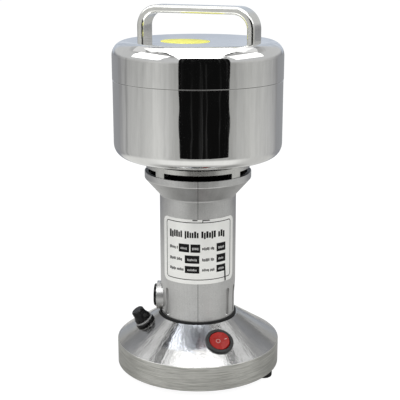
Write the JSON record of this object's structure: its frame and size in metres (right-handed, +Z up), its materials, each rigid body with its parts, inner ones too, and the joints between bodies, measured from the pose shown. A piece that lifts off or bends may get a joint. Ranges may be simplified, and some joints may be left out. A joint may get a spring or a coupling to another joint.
{
  "type": "electric spice grinder",
  "caption": "Upright electric spice grinder: polished round bowl with screw-on handled lid, motor column, conical base with rocker switch and fuse holder.",
  "frame": {"origin": "on the table, on the axis of the motor shaft", "axes": "+Z up along the shaft, -Y to the front with the rating plate, +X to the right seen from the front"},
  "size_m": [0.1386, 0.1386, 0.3057],
  "materials": {
    "polished_steel": "mirror-polished stainless sheet",
    "handle_chrome": "bright plated bar",
    "base_alloy": "polished turned cone with a brushed rim",
    "casing_alloy": "satin die-cast aluminium",
    "plate_foil": "off-white printed foil",
    "sticker_yellow": "plain yellow paper sticker",
    "black_rubber": "matt black rubber",
    "black_plastic": "black moulded plastic",
    "grey_plastic": "grey ring",
    "red_plastic": "glossy red plastic",
    "cover_sheet": "dark painted sheet",
    "zinc_steel": "zinc-plated fasteners",
    "bearing_steel": "ground bearing steel",
    "shaft_steel": "ground steel",
    "blade_steel": "hardened stainless steel, ground edges",
    "lamination_steel": "stacked electrical sheet",
    "enamel_copper": "enamelled copper wire",
    "copper_bars": "bare copper",
    "terminal_brass": "plain brass",
    "holder_resin": "brown moulded resin",
    "carbon": "pressed carbon",
    "glass_fuse": "glass tube with metal ends"
  },
  "bodies": {
    "housing": {"base_shell": "base_alloy", "bottom_cover": "cover_sheet", "cover_screws": "zinc_steel", "feet": "black_rubber", "cord_gland": "black_rubber", "switch_housing": "black_plastic", "switch_terminals": "terminal_brass", "fuse_holder": "black_plastic", "fuse_holder_ring": "grey_plastic", "fuse_holder_nut": "black_plastic", "column_gasket": "black_rubber", "base_screws": "zinc_steel", "casing_left": "casing_alloy", "casing_right": "casing_alloy", "casing_screws": "zinc_steel", "rating_plate": "plate_foil", "lower_bearing": "bearing_steel", "upper_bearing": "bearing_steel", "stator_core": "lamination_steel", "field_coils": "enamel_copper", "brush_holders": "holder_resin", "carbon_brushes": "carbon", "brush_springs": "zinc_steel", "brush_cap": "black_plastic", "vent_collar": "casing_alloy", "collar_screws": "zinc_steel", "bowl": "polished_steel", "bowl_screws": "zinc_steel", "shaft_seal": "black_rubber"},
    "rotor": {"shaft": "shaft_steel", "armature_core": "lamination_steel", "armature_winding": "enamel_copper", "commutator": "copper_bars", "fan": "black_plastic", "lower_blade": "blade_steel", "blade_spacer": "shaft_steel", "upper_blade": "blade_steel", "blade_washer": "zinc_steel", "blade_nut": "zinc_steel"},
    "lid_seal": {"lid_gasket": "black_rubber"},
    "lid": {"lid_shell": "polished_steel", "lid_thread_ring": "polished_steel", "handle": "handle_chrome", "handle_screws": "zinc_steel", "lid_sticker": "sticker_yellow"},
    "rocker": {"rocker": "red_plastic"},
    "fuse": {"fuse": "glass_fuse"},
    "fuse_cap": {"fuse_cap": "black_plastic"}
  },
  "joints": [
    {"name": "rotor_spin", "type": "hinge", "parent": "housing", "child": "rotor", "pos_m": [0, 0, 0.1], "axis": [0, 0, 1], "continuous": true},
    {"name": "lid_lift", "type": "slide", "parent": "housing", "child": "lid_seal", "axis": [0, 0, 1], "range_m": [0, 0.08]},
    {"name": "lid_turn", "type": "hinge", "parent": "lid_seal", "child": "lid", "pos_m": [0, 0, 0.26], "axis": [0, 0, 1], "range_deg": [0, 90]},
    {"name": "rocker_tilt", "type": "hinge", "parent": "housing", "child": "rocker", "pos_m": [0.01736, -0.04571, 0.03736], "axis": [-0.2994, 0.7881, 0.5378], "range_deg": [0, 18]},
    {"name": "fuse_pull", "type": "slide", "parent": "housing", "child": "fuse", "axis": [-0.5296, -0.0934, 0.8431], "range_m": [0, 0.03]},
    {"name": "fuse_cap_turn", "type": "hinge", "parent": "fuse", "child": "fuse_cap", "pos_m": [-0.04666, -0.00823, 0.04319], "axis": [-0.5296, -0.0934, 0.8431], "range_deg": [0, 90]}
  ]
}
